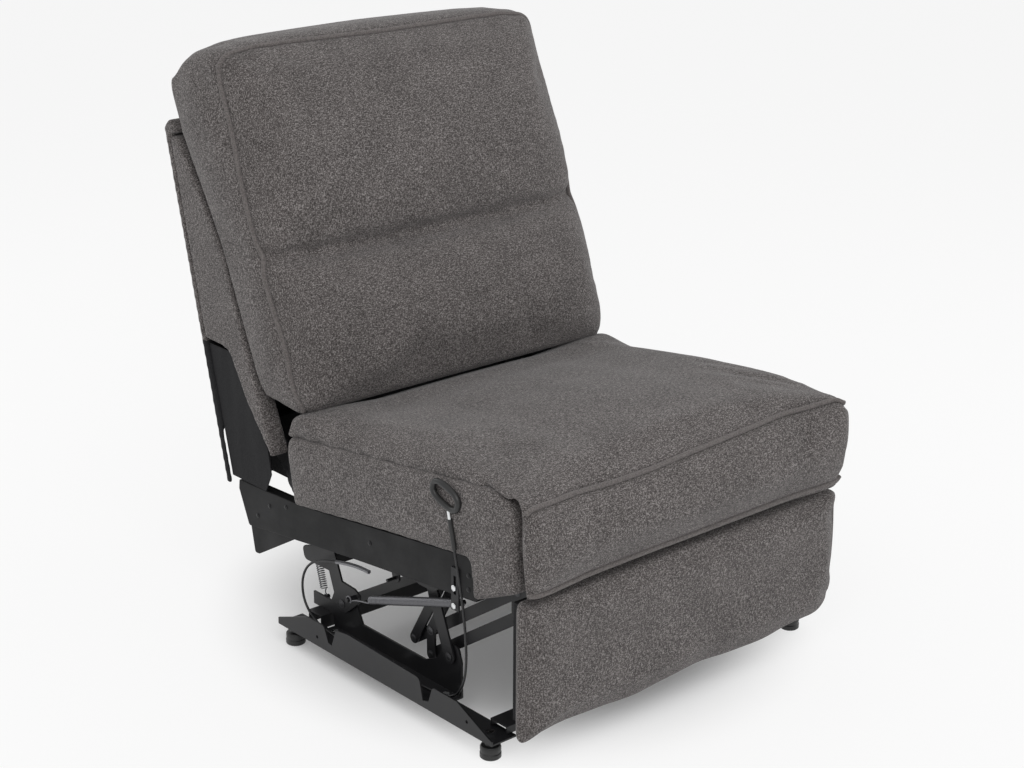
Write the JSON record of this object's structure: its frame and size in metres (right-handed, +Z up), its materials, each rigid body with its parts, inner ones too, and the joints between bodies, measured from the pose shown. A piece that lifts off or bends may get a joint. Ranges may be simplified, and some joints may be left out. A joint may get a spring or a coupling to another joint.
{
  "type": "armless recliner",
  "caption": "Armless upholstered recliner on a black steel wall-saver mechanism, with a fold-out footrest and a cable pull handle at one side of the seat.",
  "frame": {"origin": "middle of the footprint at floor level, under the levelling feet", "axes": "+Z up, the front of the seat and the footrest panel face -Y, the sitter's left is +X"},
  "size_m": [0.756, 0.9822, 1.0404],
  "materials": {
    "grey_chenille": "matte tweed chenille",
    "black_cloth": "matte non-woven",
    "black_enamel": "semi-gloss",
    "black_board": "matte black",
    "pine": "raw",
    "spring_steel": "satin",
    "zinc_plate": "bright zinc",
    "black_plastic": "satin"
  },
  "bodies": {
    "base": {"base_plate_left": "black_enamel", "base_plate_right": "black_enamel", "base_rail_left": "black_enamel", "base_rail_right": "black_enamel", "base_screws": "zinc_plate", "base_springs": "zinc_plate", "foot_nuts": "zinc_plate", "front_cross_bar": "black_enamel", "levelling_feet": "black_plastic", "rear_cross_bar": "black_enamel"},
    "rear_lift": {"lift_torque_tube": "black_enamel", "rear_lift_link_left": "black_enamel", "rear_lift_link_right": "black_enamel"},
    "front_lift": {"front_lift_links": "black_enamel"},
    "footrest_drive": {"drive_link_left": "black_enamel", "drive_link_right": "black_enamel", "drive_tube": "black_enamel"},
    "footrest_guide": {"guide_links": "black_enamel"},
    "long_links": {"long_link_left": "black_enamel", "long_link_right": "black_enamel"},
    "lower_links": {"lower_link_left": "black_enamel", "lower_link_right": "black_enamel"},
    "footrest": {"footrest_board": "pine", "footrest_brackets": "black_enamel", "footrest_pad": "grey_chenille"},
    "back": {"back_bolts": "zinc_plate", "back_bracket_left": "black_enamel", "back_bracket_right": "black_enamel", "back_covers": "black_cloth", "back_cushion": "grey_chenille", "back_frame": "pine", "back_side_left": "grey_chenille", "back_side_right": "grey_chenille", "back_webbing": "black_cloth", "outside_back": "grey_chenille"},
    "back_ties": {"back_links": "black_enamel"},
    "pull_handle": {"pull_ferrule": "zinc_plate", "pull_ring": "black_plastic"},
    "latch": {"release_lever": "black_enamel"},
    "seat": {"cable_end_tube": "zinc_plate", "cable_sleeve": "black_plastic", "front_rail": "pine", "lift_springs": "zinc_plate", "rear_rail": "pine", "release_cable": "black_plastic", "seat_cushion": "grey_chenille", "seat_plate_left": "black_enamel", "seat_plate_right": "black_enamel", "seat_side_left": "grey_chenille", "seat_side_right": "grey_chenille", "seat_springs": "spring_steel", "side_rail_left": "black_board", "side_rail_right": "black_board", "spring_hangers": "black_enamel"}
  },
  "joints": [
    {"name": "back_recline", "type": "hinge", "parent": "seat", "child": "back", "pos_m": [0, 0.16942, 0.305], "axis": [-1, 0, 0], "range_deg": [0, 28]},
    {"name": "rear_lift_swing", "type": "hinge", "parent": "base", "child": "rear_lift", "pos_m": [0, 0.05142, 0.1], "axis": [1, 0, 0], "range_deg": [-0.5, 32.5], "deforming": ["base_springs"]},
    {"name": "front_lift_swing", "type": "hinge", "parent": "base", "child": "front_lift", "pos_m": [0, -0.23858, 0.11], "axis": [1, 0, 0], "range_deg": [-0.5, 32.5]},
    {"name": "seat_carry", "type": "hinge", "parent": "rear_lift", "child": "seat", "pos_m": [0, 0.10142, 0.225], "axis": [1, 0, 0], "range_deg": [-32.5, 0.5], "deforming": ["lift_springs"]},
    {"name": "back_tie_swing", "type": "hinge", "parent": "back", "child": "back_ties", "pos_m": [0, 0.17714, 0.27405], "axis": [1, 0, 0], "range_deg": [-0.5, 28.5]},
    {"name": "footrest_open", "type": "hinge", "parent": "seat", "child": "footrest_drive", "pos_m": [0, -0.27358, 0.3], "axis": [-1, 0, 0], "range_deg": [0, 88]},
    {"name": "guide_swing", "type": "hinge", "parent": "seat", "child": "footrest_guide", "pos_m": [0, -0.22858, 0.27], "axis": [-1, 0, 0], "range_deg": [-0.5, 88.5]},
    {"name": "long_link_swing", "type": "hinge", "parent": "footrest_drive", "child": "long_links", "pos_m": [0, -0.17358, 0.128], "axis": [-1, 0, 0], "range_deg": [-88.5, 0.5]},
    {"name": "lower_link_swing", "type": "hinge", "parent": "footrest_drive", "child": "lower_links", "pos_m": [0, -0.17358, 0.084], "axis": [-1, 0, 0], "range_deg": [-88.5, 0.5]},
    {"name": "footrest_tilt", "type": "hinge", "parent": "long_links", "child": "footrest", "pos_m": [0, -0.38858, 0.275], "axis": [-1, 0, 0], "range_deg": [-0.5, 88.5]},
    {"name": "handle_pull", "type": "slide", "parent": "seat", "child": "pull_handle", "axis": [0, 0.2234, 0.9747], "range_m": [0, 0.03], "stiffness_N_per_m": 400, "springref_m": -0.02},
    {"name": "latch_release", "type": "hinge", "parent": "seat", "child": "latch", "pos_m": [0, -0.09658, 0.24], "axis": [1, 0, 0], "range_deg": [-0.5, 26]}
  ],
  "couplings": [
    {"joint": "rear_lift_swing", "follows": "back_recline", "ratio": 1.1429},
    {"joint": "front_lift_swing", "follows": "back_recline", "ratio": 1.1429},
    {"joint": "seat_carry", "follows": "back_recline", "ratio": -1.1429},
    {"joint": "back_tie_swing", "follows": "back_recline", "ratio": 1},
    {"joint": "guide_swing", "follows": "footrest_open", "ratio": 1},
    {"joint": "long_link_swing", "follows": "footrest_open", "ratio": -1},
    {"joint": "lower_link_swing", "follows": "footrest_open", "ratio": -1},
    {"joint": "footrest_tilt", "follows": "footrest_open", "ratio": 1},
    {"joint": "latch_release", "follows": "handle_pull", "rad_per_m": 13.963}
  ]
}
